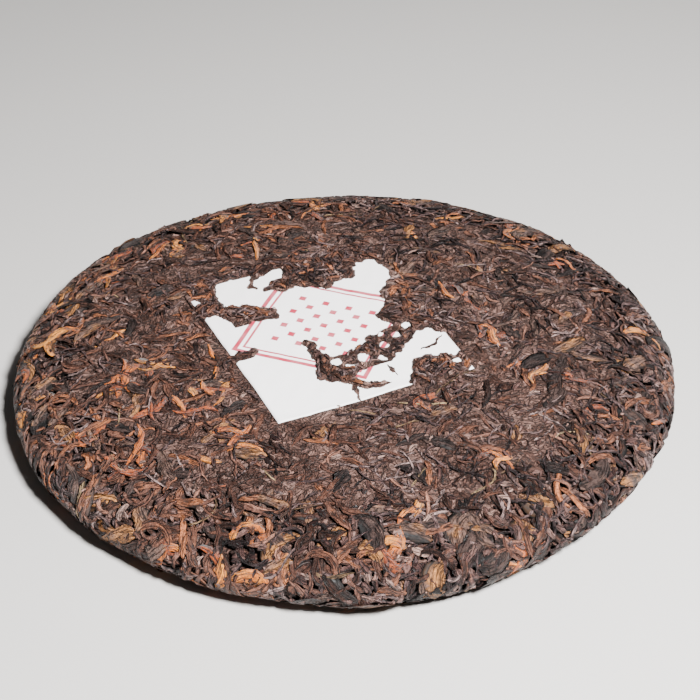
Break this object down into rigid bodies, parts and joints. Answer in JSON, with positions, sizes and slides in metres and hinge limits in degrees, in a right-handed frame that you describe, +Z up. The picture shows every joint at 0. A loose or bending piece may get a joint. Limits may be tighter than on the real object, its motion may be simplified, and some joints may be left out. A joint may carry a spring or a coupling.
{
  "type": "pu erh tea cake",
  "caption": "Round pressed cake of pu erh tea leaves, domed above and flat below with a dimple, with a paper ticket pressed into its top and partly hidden by leaves.",
  "frame": {"origin": "on the surface that the cake lies on, below the middle of its outline", "axes": "+Z up through the middle of the domed top, +X to the right and +Y away as the picture shows the cake"},
  "size_m": [0.201, 0.1992, 0.0249],
  "materials": {
    "tea_leaf": "dry rolled tea leaves, dark grey-brown and red-brown with golden tips, matt with a faint sheen",
    "ticket_paper": "thin white paper, matt, with a faded pinkish red print"
  },
  "bodies": {
    "root": {"tea_cake": "tea_leaf", "paper_ticket": "ticket_paper"}
  },
  "joints": []
}
